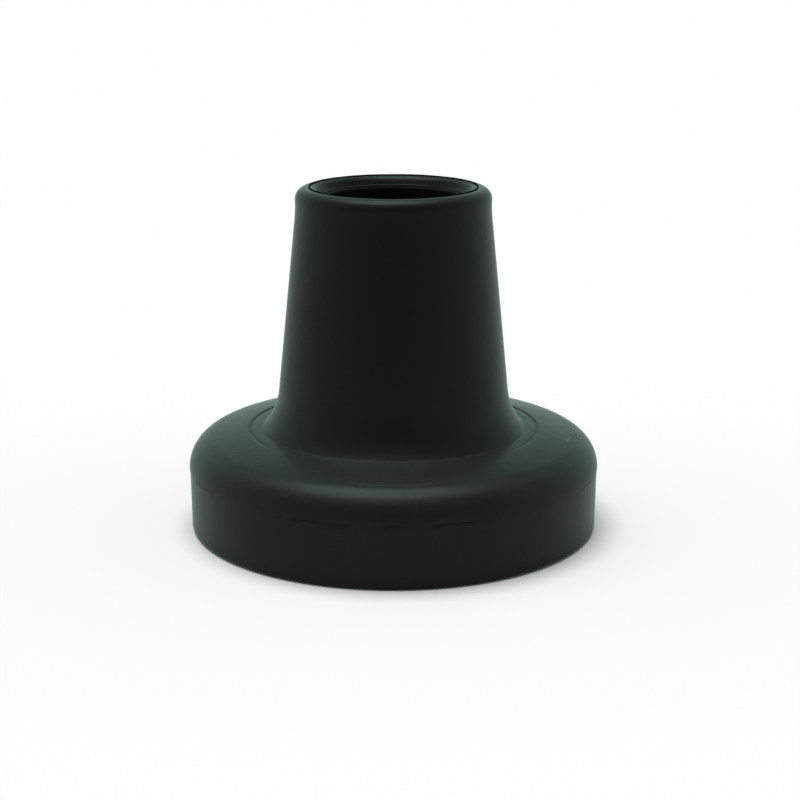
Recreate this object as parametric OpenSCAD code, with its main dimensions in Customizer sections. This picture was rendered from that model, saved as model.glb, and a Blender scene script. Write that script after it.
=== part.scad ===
// Rubber cane tip: a wide moulded foot with a tapered neck and a round socket for the shaft.
// One moulded piece, drawn as a half section and turned about Z. The sole stands on Z = 0.

/* [Overall] */
// Height from the sole to the trim lip at the mouth
tip_h = 50; // [46:0.5:70]
// Diameter at the mould's parting line, the widest place
widest_d = 60; // [58:0.5:80]
// Diameter of the socket that the shaft is pressed into
socket_d = 20; // [14:0.1:26]

/* [Foot] */
// Height of the parting line above the sole
parting_h = 9.2; // [8:0.1:14]
// How far the lower mould half stands inside the upper one at the parting line
parting_step = 0.08; // [0.02:0.01:0.3]
// Draft of the side wall below the parting line, in degrees
side_draft = 0.6; // [0:0.1:5]
// Radius of the edge between the side wall and the sole
foot_edge_r = 0.8; // [0.3:0.1:1.5]

/* [Shoulder] */
// Radius of the round shoulder above the parting line
shoulder_r = 4.6; // [3:0.1:6]
// Radius of the crowned top of the foot, as seen in the section
crown_r = 40; // [30:1:80]
// Slope of the crown where it runs into the shoulder, in degrees
crown_edge_deg = 13; // [9:0.5:16]
// Distance from the root fillet's crease out to the fine ring groove
ring_groove_gap = 1.8; // [1:0.1:4]
// Radius of the cutter that makes the ring groove
ring_groove_r = 0.4; // [0.3:0.05:0.8]
// Depth of the ring groove
ring_groove_h = 0.12; // [0.05:0.01:0.25]

/* [Neck] */
// Thickness of the wall round the socket, where the taper reaches the full height
neck_wall = 3.65; // [2.5:0.05:6]
// Taper of the neck, from its axis, in degrees
neck_taper = 5.9; // [4:0.1:6.5]
// How far the root fillet spreads from the taper, square to it, up to its crease on the crown
root_spread = 1.89; // [1:0.01:3]
// Radius of the root fillet between neck and crown
root_fillet_r = 10; // [5:0.5:14]

/* [Rim] */
// Radius of the rim's outer round
rim_round_r = 1.65; // [1:0.05:1.8]
// How far the rim's bead stands proud of the neck's taper
bead_proud = 0.2; // [0.05:0.05:0.4]
// Radius of the hollow blend between bead and neck
bead_blend_r = 20; // [10:1:30]
// Width of the flat from the rim's round in to the middle of the trim lip
rim_flat_w = 0.39; // [0.2:0.01:0.8]
// Height of the trim lip above the rim
lip_h = 0.2; // [0.05:0.01:0.25]
// Width of the trim lip
lip_w = 0.2; // [0.1:0.02:0.4]

/* [Socket] */
// Thickness of the sole under the socket, treads included
socket_floor_h = 14; // [8:0.5:16]
// Radius of the corner between the socket's wall and floor
socket_corner_r = 1; // [0.5:0.1:3]
// Depth of the flared lead-in below the rim
lead_in_h = 1.6; // [1:0.1:3]
// Radius of the lead-in's round, as seen in the section
lead_in_r = 4.2; // [3.6:0.1:8]

/* [Tread] */
// Number of round grooves in the sole
groove_count = 4; // [2:1:5]
// Diameter of the first groove, on its centre line
groove_first_d = 15; // [12:0.5:17]
// Width of the land between the last groove and the round at the foot's edge
edge_land_w = 4; // [2:0.1:6]
// Width of a groove
groove_w = 2.6; // [1.5:0.1:3]
// Depth of a groove to its round bottom
groove_h = 2.2; // [1.6:0.1:4]

/* [Hidden] */
$fn = 160;

widest_r = widest_d / 2;
socket_r = socket_d / 2;

// Cuts and fills run this far past the surface that ends them
past = 1;

// Side wall: a line that leans in towards the sole, and the round at its foot
side_n = [cos(side_draft), -sin(side_draft)];
side_top = [widest_r - parting_step, parting_h];
foot_edge_c = [
    (side_n * side_top - foot_edge_r - side_n[1] * foot_edge_r) / side_n[0],
    foot_edge_r
];
foot_edge_end = foot_edge_c + foot_edge_r * side_n;

// Shoulder: a round that leaves the parting line upright and ends at the crown's slope
shoulder_c = [widest_r - shoulder_r, parting_h];
crown_n = [sin(crown_edge_deg), cos(crown_edge_deg)];
shoulder_end = shoulder_c + shoulder_r * crown_n;
crown_c = shoulder_end - crown_r * crown_n;

// Height of the crown at a given radius
function crown_z(r) = crown_c[1] + sqrt(crown_r * crown_r - (r - crown_c[0]) * (r - crown_c[0]));

// Neck: a straight taper, its outward normal, and the direction down along it
neck_n = [cos(neck_taper), sin(neck_taper)];
neck_down = [sin(neck_taper), -cos(neck_taper)];
function neck_r(z) = socket_r + neck_wall + (tip_h - z) * tan(neck_taper);
neck_k = neck_n * [neck_r(0), 0];

// Root fillet: touches the neck and ends at the crease, where its spread meets the crown
crease_across = neck_k + root_spread - neck_n * crown_c;
root_end = crown_c + crease_across * neck_n
    - sqrt(crown_r * crown_r - crease_across * crease_across) * neck_down;
root_across = root_fillet_r - root_spread;
root_along = sqrt(root_fillet_r * root_fillet_r - root_across * root_across);
root_c = root_end + root_across * neck_n - root_along * neck_down;
root_start = root_c - root_fillet_r * neck_n;
root_past = root_end + past / root_fillet_r * (root_c - root_end);

// Rim: the outer round sits proud of the taper, and a hollow blend leads back to it
rim_z = tip_h - lip_h;
rim_c = [neck_r(rim_z - rim_round_r) + bead_proud - rim_round_r, rim_z - rim_round_r];
blend_across = bead_blend_r - (neck_n * rim_c - neck_k);
blend_reach = rim_round_r + bead_blend_r;
blend_along = sqrt(blend_reach * blend_reach - blend_across * blend_across);
blend_c = rim_c + blend_across * neck_n + blend_along * neck_down;
blend_start = rim_c + rim_round_r / blend_reach * (blend_c - rim_c);
blend_end = blend_c - bead_blend_r * neck_n;

// Trim lip: the thin fin that the trimmed flash leaves on the rim's flat
lip_r = rim_c[0] - rim_flat_w;

// Lead-in: a round from under the trim lip down to the socket's wall
lead_top = [lip_r, rim_z];
lead_bottom = [socket_r, rim_z - lead_in_h];
lead_mid = (lead_top + lead_bottom) / 2;
lead_half = norm(lead_top - lead_bottom) / 2;
lead_dir = (lead_top - lead_bottom) / (2 * lead_half);
lead_c = lead_mid + sqrt(lead_in_r * lead_in_r - lead_half * lead_half) * [lead_dir[1], -lead_dir[0]];

// Fine ring groove and the tread grooves' spacing
ring_groove_at_r = root_end[0] + ring_groove_gap;
groove_first_r = groove_first_d / 2;
groove_last_r = foot_edge_c[0] - edge_land_w - groove_w / 2;
groove_pitch = (groove_last_r - groove_first_r) / (groove_count - 1);

// Foot below the parting line, with its rounded edge
module foot_section() {
    polygon([[0, 0], [foot_edge_c[0], 0], foot_edge_end, side_top, [0, parting_h]]);
    translate(foot_edge_c) circle(r = foot_edge_r);
}

// Shoulder round, from the parting line up, and the crowned top inside it
module crown_section() {
    intersection() {
        translate(shoulder_c) circle(r = shoulder_r);
        translate([0, parting_h]) square([widest_r + past, shoulder_r + past]);
    }
    intersection() {
        translate(crown_c) circle(r = crown_r);
        square([shoulder_end[0], parting_h + 2 * shoulder_r]);
    }
}

// Tapered neck, with the fillet at its root and the hollow blend up to the rim's bead
module neck_section() {
    difference() {
        polygon([
            [0, 0], [neck_r(parting_h), 0], [neck_r(parting_h), parting_h],
            blend_end, blend_start, rim_c, [rim_c[0], rim_z], [0, rim_z]
        ]);
        translate(blend_c) circle(r = bead_blend_r);
    }
    difference() {
        polygon([root_past, root_start, [0, root_start[1]], [0, parting_h], [root_past[0], parting_h]]);
        translate(root_c) circle(r = root_fillet_r);
    }
}

// Rounded rim and the fine trim lip on top of it
module rim_section() {
    translate(rim_c) circle(r = rim_round_r);
    translate([lip_r - lip_w / 2, rim_z - lip_h]) square([lip_w, 2 * lip_h]);
}

// Socket: straight wall, rounded floor corner and flared lead-in
module socket_cut() {
    translate([0, socket_floor_h + socket_corner_r])
        square([socket_r, tip_h + past - socket_floor_h - socket_corner_r]);
    translate([0, socket_floor_h]) square([socket_r - socket_corner_r, 2 * socket_corner_r]);
    translate([socket_r - socket_corner_r, socket_floor_h + socket_corner_r]) circle(r = socket_corner_r);
    difference() {
        translate([0, lead_c[1]]) square([lip_r - lip_w / 2, tip_h + past - lead_c[1]]);
        translate(lead_c) circle(r = lead_in_r);
    }
}

// Fine groove that rings the crown
module ring_groove_cut() {
    surface = [ring_groove_at_r, crown_z(ring_groove_at_r)];
    up = (surface - crown_c) / crown_r;
    translate(surface + (ring_groove_r - ring_groove_h) * up) circle(r = ring_groove_r);
}

// Round-bottomed tread grooves, spaced evenly outwards across the sole
module tread_cut() {
    for (i = [0 : groove_count - 1]) {
        at_r = groove_first_r + i * groove_pitch;
        translate([at_r - groove_w / 2, -past]) square([groove_w, past + groove_h - groove_w / 2]);
        translate([at_r, groove_h - groove_w / 2]) circle(r = groove_w / 2);
    }
}

// The whole moulding: the section turned about the shaft's axis
module rubber_tip() {
    color("#1d2422")
        rotate_extrude()
            difference() {
                union() {
                    foot_section();
                    crown_section();
                    neck_section();
                    rim_section();
                }
                socket_cut();
                ring_groove_cut();
                tread_cut();
            }
}

rubber_tip();
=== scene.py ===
import math

import bmesh
import bpy
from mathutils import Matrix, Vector, noise


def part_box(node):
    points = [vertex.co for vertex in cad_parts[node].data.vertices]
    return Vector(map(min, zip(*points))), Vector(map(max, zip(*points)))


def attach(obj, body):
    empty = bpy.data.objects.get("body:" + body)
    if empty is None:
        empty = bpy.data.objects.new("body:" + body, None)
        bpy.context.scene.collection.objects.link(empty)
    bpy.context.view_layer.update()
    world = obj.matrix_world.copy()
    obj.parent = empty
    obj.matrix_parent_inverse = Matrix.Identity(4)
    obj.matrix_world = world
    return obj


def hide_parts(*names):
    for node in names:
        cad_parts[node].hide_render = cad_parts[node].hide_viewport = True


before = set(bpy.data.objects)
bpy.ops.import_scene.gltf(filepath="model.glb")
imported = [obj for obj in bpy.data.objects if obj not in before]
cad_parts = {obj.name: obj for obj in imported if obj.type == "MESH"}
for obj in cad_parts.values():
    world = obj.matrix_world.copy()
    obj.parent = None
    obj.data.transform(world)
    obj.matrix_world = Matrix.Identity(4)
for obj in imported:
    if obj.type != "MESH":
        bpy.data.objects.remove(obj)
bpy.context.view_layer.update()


# Rubber moulding: the whole tip is one compression moulding of near-black rubber. It is drawn
# as the mould maker draws it, a half section of lines and true rounds turned about the shaft's
# axis, with the fine steps that the mould's joints and the trimming of the mouth leave.
mm = 0.001

# The height and the widest radius are the CAD part's own.
tip_low, tip_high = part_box("rubber_tip")
tip_h = tip_high.z
widest_r = min(tip_high.x, tip_high.y, -tip_low.x, -tip_low.y)

# Foot, from the parting line outwards and up to the neck
parting_h = 9.2 * mm
parting_step = 0.08 * mm
parting_notch_h = 0.12 * mm
parting_notch_side_h = 0.32 * mm
parting_notch_depth = 0.24 * mm
side_draft = math.radians(0.6)
foot_edge_r = 0.8 * mm
shoulder_r = 4.6 * mm
crown_r = 40 * mm
crown_edge = math.radians(13)
crown_line_h = 0.03 * mm
crown_line_half_w = 0.09 * mm
ring_groove_gap = 1.8 * mm
ring_groove_h = 0.12 * mm
ring_groove_half_w = 0.28 * mm

# Neck and rim
socket_r = 10 * mm
neck_wall = 3.65 * mm
neck_taper = math.radians(5.9)
root_spread = 1.89 * mm
root_fillet_r = 10 * mm
crease_round = 0.08 * mm
rim_round_r = 1.65 * mm
rim_line_tilt = math.radians(53)
rim_line_h = 0.05 * mm
rim_line_half_w = 0.07 * mm
bead_proud = 0.2 * mm
bead_blend_r = 20 * mm
rim_flat_w = 0.39 * mm
lip_h = 0.2 * mm
lip_w = 0.2 * mm
lip_tip_w = 0.1 * mm
lip_wave_h = 0.03 * mm
lip_wave_length = 3 * mm

# Socket, with its lead-in and the two fine steps below it
socket_floor_h = 14 * mm
socket_corner_r = 1 * mm
lead_round_r = 1.14 * mm
lead_flare = math.radians(57)
lead_wall_h = 1.13 * mm
lead_edge_w = 0.27 * mm
lead_edge_drop = 0.05 * mm
lead_ledge_r = 10.31 * mm
lead_step_w = 0.1 * mm
lead_step_h = 0.29 * mm
lead_chamfer_r = 10.08 * mm
lead_chamfer_h = 0.12 * mm

# Tread in the sole
groove_count = 4
groove_first_r = 7.5 * mm
edge_land_w = 4 * mm
groove_w = 2.6 * mm
groove_h = 2.2 * mm

# Length of the mesh's edges along the section, and the number of sections in a turn
ring_gap = 0.35 * mm
round_gap = 0.18 * mm
turn_steps = 256


def flat(along, up):
    """A direction or place in the half section: out from the axis, and up."""
    return Vector((along, up))


def draw_line(section, pen, end, gap):
    """Carries the section on from pen to end in a straight line, in even steps of about gap."""
    start = pen.co.copy()
    steps = max(1, round((Vector((end.x, 0, end.y)) - start).length / gap))
    for step in range(1, steps + 1):
        pen = bmesh.ops.extrude_vert_indiv(section, verts=[pen])["verts"][0]
        pen.co = start.lerp(Vector((end.x, 0, end.y)), step / steps)
    return pen


def draw_round(section, pen, centre, end, gap):
    """Carries the section on from pen to end along a round about centre, in steps of about gap."""
    start = flat(pen.co.x, pen.co.z) - centre
    finish = end - centre
    turn = math.atan2(start.x * finish.y - start.y * finish.x, start.dot(finish))
    steps = max(3, round(abs(turn) * start.length / gap))
    made = bmesh.ops.spin(section, geom=[pen], cent=(centre.x, 0, centre.y), axis=(0, -1, 0),
                          dvec=(0, 0, 0), angle=turn, steps=steps, use_merge=False)
    return next(part for part in made["geom_last"] if isinstance(part, bmesh.types.BMVert))


side_n = flat(math.cos(side_draft), -math.sin(side_draft))
side_top = flat(widest_r - parting_step, parting_h)
foot_edge_c = flat((side_n.dot(side_top) - foot_edge_r - side_n.y * foot_edge_r) / side_n.x, foot_edge_r)
notch_low = side_top - flat(0, parting_notch_h)
notch_in = side_top - flat(parting_notch_depth, parting_notch_h / 2)
shoulder_c = flat(widest_r - shoulder_r, parting_h)
shoulder_end = shoulder_c + shoulder_r * flat(math.sin(crown_edge), math.cos(crown_edge))
crown_c = shoulder_end - crown_r * flat(math.sin(crown_edge), math.cos(crown_edge))


def crown_point(r):
    """The place on the crown at a given radius."""
    return flat(r, crown_c.y + math.sqrt(crown_r ** 2 - (r - crown_c.x) ** 2))


crown_line_r = shoulder_end.x - crown_line_half_w
neck_n = flat(math.cos(neck_taper), math.sin(neck_taper))
neck_down = flat(math.sin(neck_taper), -math.cos(neck_taper))


def neck_point(z):
    """The place on the neck's taper at a given height."""
    return flat(socket_r + neck_wall + (tip_h - z) * math.tan(neck_taper), z)


crease_across = neck_n.dot(neck_point(0)) + root_spread - neck_n.dot(crown_c)
root_end = crown_c + crease_across * neck_n - math.sqrt(crown_r ** 2 - crease_across ** 2) * neck_down
root_across = root_fillet_r - root_spread
root_c = root_end + root_across * neck_n - math.sqrt(root_fillet_r ** 2 - root_across ** 2) * neck_down
root_start = root_c - root_fillet_r * neck_n
ring_groove_r = root_end.x + ring_groove_gap

rim_z = tip_h - lip_h
rim_c = flat(neck_point(rim_z - rim_round_r).x + bead_proud - rim_round_r, rim_z - rim_round_r)
blend_across = bead_blend_r - (neck_n.dot(rim_c) - neck_n.dot(neck_point(0)))
blend_reach = rim_round_r + bead_blend_r
blend_c = rim_c + blend_across * neck_n + math.sqrt(blend_reach ** 2 - blend_across ** 2) * neck_down
blend_start = rim_c + rim_round_r / blend_reach * (blend_c - rim_c)
blend_end = blend_c - bead_blend_r * neck_n
lip_r = rim_c.x - rim_flat_w


def rim_point(tilt, depth=0):
    """The place on the rim's round, or so deep below it, where it is tilted by so much from level."""
    return rim_c + (rim_round_r - depth) * flat(math.sin(tilt), math.cos(tilt))


rim_line_turn = rim_line_half_w / rim_round_r

lead_top = flat(lip_r - lip_w / 2, rim_z)
lead_c = lead_top - flat(0, lead_round_r)
lead_round_end = lead_c + lead_round_r * flat(-math.sin(lead_flare), math.cos(lead_flare))
lead_edge = flat(lead_ledge_r + lead_edge_w, rim_z - lead_wall_h)
lead_ledge = flat(lead_ledge_r, lead_edge.y - lead_edge_drop)
lead_step = lead_ledge - flat(lead_step_w, lead_step_h)

section = bmesh.new()
pen = section.verts.new((0, 0, 0))
groove_pitch = (foot_edge_c.x - edge_land_w - groove_w / 2 - groove_first_r) / (groove_count - 1)
groove_round_z = groove_h - groove_w / 2
for groove in range(groove_count):
    middle = flat(groove_first_r + groove * groove_pitch, groove_round_z)
    half_w = flat(groove_w / 2, 0)
    pen = draw_line(section, pen, flat(middle.x - groove_w / 2, 0), 4 * ring_gap)
    pen = draw_line(section, pen, middle - half_w, ring_gap)
    pen = draw_round(section, pen, middle, middle + flat(0, groove_w / 2), ring_gap)
    pen = draw_round(section, pen, middle, middle + half_w, ring_gap)
    pen = draw_line(section, pen, flat(middle.x + groove_w / 2, 0), ring_gap)
pen = draw_line(section, pen, flat(foot_edge_c.x, 0), 4 * ring_gap)
pen = draw_round(section, pen, foot_edge_c, foot_edge_c + foot_edge_r * side_n, round_gap)
pen = draw_line(section, pen, notch_low, 2 * ring_gap)
pen = draw_line(section, pen, notch_in, ring_gap)
pen = draw_line(section, pen, side_top, ring_gap)
pen = draw_line(section, pen, flat(widest_r, parting_h), ring_gap)
pen = draw_round(section, pen, shoulder_c, shoulder_end, round_gap)
pen = draw_line(section, pen, crown_point(crown_line_r) - flat(0, crown_line_h), round_gap)
pen = draw_line(section, pen, crown_point(crown_line_r - crown_line_half_w), round_gap)
pen = draw_round(section, pen, crown_c, crown_point(ring_groove_r + ring_groove_half_w), ring_gap)
pen = draw_line(section, pen, crown_point(ring_groove_r) - flat(0, ring_groove_h), round_gap)
pen = draw_line(section, pen, crown_point(ring_groove_r - ring_groove_half_w), round_gap)
pen = draw_round(section, pen, crown_c, root_end, ring_gap)
crease = pen
pen = draw_round(section, pen, root_c, root_start, ring_gap)
pen = draw_line(section, pen, blend_end, ring_gap)
pen = draw_round(section, pen, blend_c, blend_start, ring_gap)
pen = draw_round(section, pen, rim_c, rim_point(rim_line_tilt + rim_line_turn), round_gap)
pen = draw_line(section, pen, rim_point(rim_line_tilt, rim_line_h), round_gap)
pen = draw_line(section, pen, rim_point(rim_line_tilt - rim_line_turn), round_gap)
pen = draw_round(section, pen, rim_c, rim_point(0), round_gap)
pen = draw_line(section, pen, flat(lip_r + lip_w / 2, rim_z), round_gap)
pen = draw_line(section, pen, flat(lip_r + lip_tip_w / 2, tip_h), round_gap)
pen = draw_line(section, pen, flat(lip_r - lip_tip_w / 2, tip_h), round_gap)
pen = draw_line(section, pen, lead_top, round_gap)
pen = draw_round(section, pen, lead_c, lead_round_end, round_gap)
pen = draw_line(section, pen, lead_edge, round_gap)
pen = draw_line(section, pen, lead_ledge, round_gap)
pen = draw_line(section, pen, lead_step, round_gap)
pen = draw_line(section, pen, flat(lead_chamfer_r, lead_step.y), round_gap)
pen = draw_line(section, pen, flat(socket_r, lead_step.y - lead_chamfer_h), round_gap)
pen = draw_line(section, pen, flat(socket_r, socket_floor_h + socket_corner_r), 4 * ring_gap)
socket_corner_c = flat(socket_r - socket_corner_r, socket_floor_h + socket_corner_r)
pen = draw_round(section, pen, socket_corner_c, flat(socket_corner_c.x, socket_floor_h), round_gap)
pen = draw_line(section, pen, flat(0, socket_floor_h), 4 * ring_gap)
bmesh.ops.bevel(section, geom=[crease], offset=crease_round, offset_type="OFFSET", segments=4,
                profile=0.5, affect="VERTICES", material=-1)

bmesh.ops.spin(section, geom=section.verts[:] + section.edges[:], cent=(0, 0, 0), axis=(0, 0, 1),
               dvec=(0, 0, 0), angle=math.tau, steps=turn_steps, use_merge=True)
bmesh.ops.remove_doubles(section, verts=section.verts, dist=0.002 * mm)
bmesh.ops.recalc_face_normals(section, faces=section.faces)

# The ring groove runs out towards the front, and the fine line on the crown is only there. The
# parting notch is widest at the two sides and nearly closed in front. The knife has left the trim
# lip a little uneven.
near = 0.01 * mm
ring_fade_start = 0.1
ring_fade_end = 0.7
notch_fill_start = 0.4
notch_fill_end = 0.55
notch_fill_wave = 0.75
notch_wave_length = 5 * mm
notch_wave_start = Vector((39.7, 1.4, 10.3))
notch_narrow_end = 0.5
notch_widening = parting_notch_side_h - parting_notch_h
lip_front_drop = 0.09 * mm
crown_line_fade = 12
crown_line_wave = 0.6
crown_line_wave_length = 2.5 * mm
crown_line_low = crown_point(crown_line_r) - flat(0, crown_line_h)
for corner in section.verts:
    out = corner.co.xy.length
    front = -corner.co.y / max(out, near)
    drawn = flat(out, corner.co.z)
    side = max(1 - abs(front) / notch_narrow_end, 0)
    if corner.co.z > parting_h and abs(out - ring_groove_r) < ring_groove_half_w:
        fade = (front - ring_fade_start) / (ring_fade_end - ring_fade_start)
        corner.co.z += min(max(fade, 0), 1) * (crown_point(out).y - corner.co.z)
    elif (drawn - notch_low).length < near:
        corner.co.z -= side * notch_widening
    elif (drawn - notch_in).length < near:
        corner.co.z -= side * notch_widening / 2
        fill = min(max((front - notch_fill_start) / (notch_fill_end - notch_fill_start), 0), 1)
        fill *= 1 + notch_fill_wave * noise.noise(corner.co / notch_wave_length + notch_wave_start)
        corner.co.xy *= 1 + min(fill, 1) * parting_notch_depth / out
    elif (drawn - crown_line_low).length < near:
        fill = crown_line_fade * (1 - front)
        fill += crown_line_wave * noise.noise(corner.co / crown_line_wave_length)
        corner.co.z += min(max(fill, 0), 1) * crown_line_h
    elif corner.co.z > tip_h - near:
        wave = lip_wave_h * (0.5 + 0.5 * noise.noise(corner.co / lip_wave_length))
        corner.co.z -= wave + lip_front_drop * max(front, 0)

# The faces that the knife cut are in the second material.
for face in section.faces:
    if face.calc_center_median().z > rim_z + near:
        face.material_index = 1

# Edges that turn by more than this stay crisp.
sharp_edge = math.radians(25)
tip_mesh = bpy.data.meshes.new("rubber_moulding")
section.to_mesh(tip_mesh)
section.free()
tip_mesh.shade_smooth()
tip_mesh.set_sharp_from_angle(angle=sharp_edge)
tip = bpy.data.objects.new("rubber_moulding", tip_mesh)
bpy.context.scene.collection.objects.link(tip)


class Socket:
    """An output in a material's nodes, or the start of one. Working with it adds Math nodes."""

    def __init__(self, tree, output=None):
        self.tree = tree
        self.output = output

    def node(self, kind, settings, values, output=0):
        """Adds a node: its settings first, then the values or links of its sockets."""
        made = self.tree.nodes.new(kind)
        for name, value in settings.items():
            setattr(made, name, value)
        for name, value in values.items():
            if isinstance(value, Socket):
                self.tree.links.new(value.output, made.inputs[name])
            else:
                made.inputs[name].default_value = value
        return Socket(self.tree, made.outputs[output])

    def math(self, operation, other, clamp=False):
        """This and another value, worked together by a Math node."""
        settings = {"operation": operation, "use_clamp": clamp}
        return self.node("ShaderNodeMath", settings, {0: self, 1: other})

    def __add__(self, other):
        return self.math("ADD", other)

    def __sub__(self, other):
        return self.math("SUBTRACT", other)

    def __rsub__(self, other):
        return other + self * -1

    def __mul__(self, other):
        return self.math("MULTIPLY", other)

    def __pow__(self, other):
        return self.math("POWER", other)

    __radd__ = __add__
    __rmul__ = __mul__

    def vector(self, operation, other, output=0):
        """Works on a place or direction with a Vector Math node."""
        return self.node("ShaderNodeVectorMath", {"operation": operation}, {0: self, 1: other}, output)

    def parts(self):
        """The three numbers of a place or direction."""
        split = self.node("ShaderNodeSeparateXYZ", {}, {0: self}).output.node
        return [Socket(self.tree, output) for output in split.outputs]

    def rise(self, low, high):
        """Rises smoothly from 0 at low to 1 at high."""
        return self.node("ShaderNodeMapRange", {"interpolation_type": "SMOOTHSTEP"},
                         {"Value": self, "From Min": low, "From Max": high})

    def noise(self, size):
        """Smooth uneven spots of a given size in metres, from 0 to 1."""
        return self.node("ShaderNodeTexNoise", {}, {"Vector": self, "Scale": 1 / size})

    def scratch(self, start, end, width):
        """1 along the middle of a straight scratch from start to end, and 0 beside it."""
        run = end - start
        from_start = self.vector("SUBTRACT", start[:])
        along = from_start.vector("DOT_PRODUCT", run[:], "Value")
        share = along.math("DIVIDE", run.length_squared, clamp=True)
        nearest = share.node("ShaderNodeVectorMath", {"operation": "SCALE"}, {0: run[:], "Scale": share})
        away = from_start.vector("DISTANCE", nearest, "Value")
        return away.rise(width, width / 3)

    def colours(self, first, second):
        """A colour that goes from first to second as this goes from 0 to 1."""
        return self.node("ShaderNodeMix", {"data_type": "RGBA"}, {"Factor": self, 6: first, 7: second}, 2)


rubber = bpy.data.materials.new("near_black_rubber")
rubber.use_nodes = True
rubber_nodes = rubber.node_tree
skin = rubber_nodes.nodes["Principled BSDF"]
start = Socket(rubber_nodes)
place = start.node("ShaderNodeTexCoord", {}, {}, "Object")
backward, height = place.parts()[1:]
upward = start.node("ShaderNodeTexCoord", {}, {}, "Normal").parts()[2]

# Fine dust and bloom lie on the faces that look up; the colour there is lightened further as painted
# light from above, and the lower part is lightened as painted light from the floor.
# The ring groove behind and the parting notch are darkened as painted shade.
cloud_size = 9 * mm
cloud_gap_share = 0.85
cloud_share = 0.3
bloom_all_over = 0.12
# Dust, and painted light from above: the faces that look up are lighter.
dust_and_painted_light_on_top = 1.72
dust_and_top_light_focus = 3.8
# Painted light from the floor: the colour is lighter towards the bottom.
painted_floor_light_most = 0.24
painted_floor_light_from = 34 * mm
painted_floor_light_to = 4 * mm
cloud = place.noise(cloud_size)
lying = upward.math("MAXIMUM", 0) ** dust_and_top_light_focus
painted_floor_light = painted_floor_light_most * height.rise(painted_floor_light_from, painted_floor_light_to)
dust_and_painted_light = (dust_and_painted_light_on_top * lying + bloom_all_over) * (cloud_gap_share + cloud_share * cloud) + painted_floor_light
# Painted shade in the ring groove, everywhere but at the front.
groove_painted_shade = 0.5
groove_painted_shade_from = -14 * mm
groove_painted_shade_to = -4 * mm
radius = place.vector("MULTIPLY", (1, 1, 0)).vector("LENGTH", (0, 0, 0), "Value")
ring_inner_side = radius.rise(ring_groove_r - 2 * ring_groove_half_w, ring_groove_r)
ring_outer_side = radius.rise(ring_groove_r + 2 * ring_groove_half_w, ring_groove_r)
behind = backward.rise(groove_painted_shade_from, groove_painted_shade_to)
in_groove = ring_inner_side * ring_outer_side * height.rise(parting_h, parting_h + shoulder_r) * behind
# Painted shade in the parting notch: no lighter dust colour there.
notch_painted_shade_in = side_top.x - 0.04 * mm
notch_painted_shade_top = parting_h - 0.01 * mm
notch_painted_shade_low = parting_h - 0.42 * mm
notch_painted_shade_foot = parting_h - 0.36 * mm
in_notch = radius.rise(side_top.x, notch_painted_shade_in) * height.rise(parting_h, notch_painted_shade_top)
in_notch = in_notch * height.rise(notch_painted_shade_low, notch_painted_shade_foot)
dust_and_painted_light_share = dust_and_painted_light * (1 - groove_painted_shade * in_groove) * (1 - in_notch)

# Small marks: a forked scratch and a nick on the foot's right.
fork = Vector((25.1, -5.9, 13.83)) * mm
fork_left = Vector((24.9, -4.5, 13.93)) * mm
fork_right = Vector((25.9, -2.8, 13.77)) * mm
nick_low = Vector((21.6, -15.5, 13.66)) * mm
nick_high = Vector((21.3, -14.6, 13.82)) * mm
fork_left_w = 0.13 * mm
fork_right_w = 0.16 * mm
nick_w = 0.12 * mm
nick_share = 0.35
marks = place.scratch(fork, fork_left, fork_left_w) + place.scratch(fork, fork_right, fork_right_w)
marks = marks + nick_share * place.scratch(nick_low, nick_high, nick_w)
mark_share = marks.math("MINIMUM", 1)

bare_rubber = (0.004, 0.0003, 0.0022, 1)
dust_and_painted_light_rubber = (0.0198, 0.022, 0.0214, 1)
scratched_rubber = (0.06, 0.071, 0.067, 1)
skin_ior = 1.151
fine_grain = 0.3 * mm
coarse_grain = 1.6 * mm
grain_h = 0.03 * mm
fine_share = 0.4
coarse_share = 0.8
mark_cut_share = 0.5
colour = dust_and_painted_light_share.colours(bare_rubber, dust_and_painted_light_rubber)
marked = mark_share.colours(colour, scratched_rubber)
grain = fine_share * place.noise(fine_grain) + coarse_share * place.noise(coarse_grain)
relief = grain - mark_cut_share * mark_share
bump = relief.node("ShaderNodeBump", {}, {"Height": relief, "Strength": 1, "Distance": grain_h})
roughness_plain = 0.43
roughness_cloud = 0.06
roughness_lying = -0.18
roughness_mark = 0.1
roughness = roughness_plain + roughness_cloud * cloud + roughness_lying * lying
roughness = roughness + roughness_mark * mark_share + roughness_mark * in_groove
rubber_nodes.links.new(marked.output, skin.inputs["Base Color"])
rubber_nodes.links.new(roughness.output, skin.inputs["Roughness"])
rubber_nodes.links.new(bump.output, skin.inputs["Normal"])
skin.inputs["IOR"].default_value = skin_ior

# The bloom is a thin film with a green shine of its own, which shows at a flat angle.
film_ior = 1.264
film_most = 0.52
film_green = (0.32, 0.54, 0.396, 1)
film_angle = start.node("ShaderNodeFresnel", {}, {"IOR": film_ior, "Normal": bump})
# In the parting notch the film's shine is left out as well, as painted shade.
film_share = film_most * film_angle * (1 - in_notch)
film = start.node("ShaderNodeBsdfGlossy", {},
                  {"Color": film_green, "Roughness": roughness, "Normal": bump})
body = Socket(rubber_nodes, skin.outputs["BSDF"])
surface = start.node("ShaderNodeMixShader", {}, {0: film_share, 1: body, 2: film})
rubber_nodes.links.new(surface.output, rubber_nodes.nodes["Material Output"].inputs["Surface"])
tip_mesh.materials.append(rubber)

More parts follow.
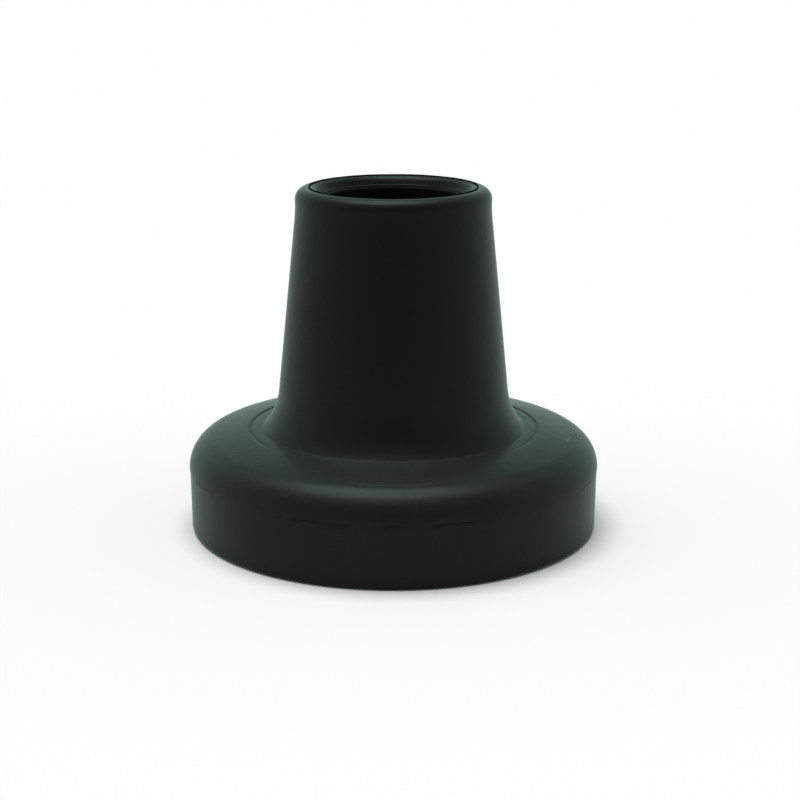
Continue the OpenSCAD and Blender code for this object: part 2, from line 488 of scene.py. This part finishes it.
# The knife's cut round the mouth shows fresh rubber: black, torn and without shine.
fresh = bpy.data.materials.new("fresh_cut_rubber")
fresh.use_nodes = True
fresh_skin = fresh.node_tree.nodes["Principled BSDF"]
fresh_place = Socket(fresh.node_tree).node("ShaderNodeTexCoord", {}, {}, "Object")
torn_size = 0.25 * mm
torn_h = 0.03 * mm
torn_dark = (0.002, 0.0015, 0.002, 1)
torn_light = (0.007, 0.0055, 0.0065, 1)
torn = fresh_place.noise(torn_size)
fresh_colour = torn.colours(torn_dark, torn_light)
torn_bump = torn.node("ShaderNodeBump", {}, {"Height": torn, "Strength": 1, "Distance": torn_h})
fresh.node_tree.links.new(fresh_colour.output, fresh_skin.inputs["Base Color"])
fresh.node_tree.links.new(torn_bump.output, fresh_skin.inputs["Normal"])
fresh_skin.inputs["Roughness"].default_value = 0.9
fresh_skin.inputs["Specular IOR Level"].default_value = 0
tip_mesh.materials.append(fresh)

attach(tip, "root")
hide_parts("rubber_tip")


# Floor: a plain pale studio sweep, matt, wide enough to fill the camera's view.
floor_r = 6
floor_mesh = bpy.data.meshes.new("studio_floor")
floor_form = bmesh.new()
bmesh.ops.create_circle(floor_form, cap_ends=True, segments=96, radius=floor_r)
floor_form.to_mesh(floor_mesh)
floor_form.free()
floor = bpy.data.objects.new("studio_floor", floor_mesh)
bpy.context.scene.collection.objects.link(floor)
paper = bpy.data.materials.new("pale_paper")
paper.use_nodes = True
paper_skin = paper.node_tree.nodes["Principled BSDF"]
paper_skin.inputs["Base Color"].default_value = (0.874, 0.8, 0.802, 1)
paper_skin.inputs["Roughness"].default_value = 1
paper_skin.inputs["Specular IOR Level"].default_value = 0
floor_mesh.materials.append(paper)


# Light: one soft overhead lamp that leans a little to the back left, and a room that is dark
# in front of the tip and bright low down behind it and at both sides.
lamp_side = Vector((-0.101, 0.045, 1))
overhead_data = bpy.data.lights.new("overhead_softbox", "SUN")
overhead_data.energy = 3.1
overhead_data.color = (0.93, 0.983, 1)
overhead_data.angle = math.radians(47)
overhead = bpy.data.objects.new("overhead_softbox", overhead_data)
overhead.rotation_euler = lamp_side.to_track_quat("Z", "Y").to_euler()
bpy.context.scene.collection.objects.link(overhead)
room = bpy.data.worlds.new("room")
bpy.context.scene.world = room
room.use_nodes = True
room_nodes = room.node_tree
back_spread = 0.27
back_lowness = 2.94
side_most = 1.065
side_lowness = 1.23
walls_most = 0.69
facing = Socket(room_nodes).node("ShaderNodeTexCoord", {}, {}, "Generated")
facing_side, facing_back, facing_up = facing.parts()
level = 1 - facing_up * facing_up
back_glow = (1 + facing_back) ** back_spread * level ** back_lowness
side_glow = side_most * facing_side * facing_side * level ** side_lowness
walls = walls_most * (back_glow + side_glow)
room_nodes.links.new(walls.output, room_nodes.nodes["Background"].inputs["Strength"])
room_nodes.nodes["Background"].inputs["Color"].default_value = (0.778, 1, 0.901, 1)


# Camera: above and in front of the tip, looking slightly down at it.
camera_back = 247.33 * mm
camera_h = 84.57 * mm
camera_pitch = math.radians(14.977)
picture_px = 800
shift_px = 6.5
camera_data = bpy.data.cameras.new("camera")
camera_data.sensor_width = 36
camera_data.lens = 78.5
camera_data.shift_x = shift_px / picture_px
camera_data.clip_start = 0.01
camera = bpy.data.objects.new("camera", camera_data)
camera.location = (0, -camera_back, camera_h)
camera.rotation_euler = (math.radians(90) - camera_pitch, 0, 0)
bpy.context.scene.collection.objects.link(camera)
bpy.context.scene.camera = camera
bpy.context.scene.view_settings.view_transform = "Standard"
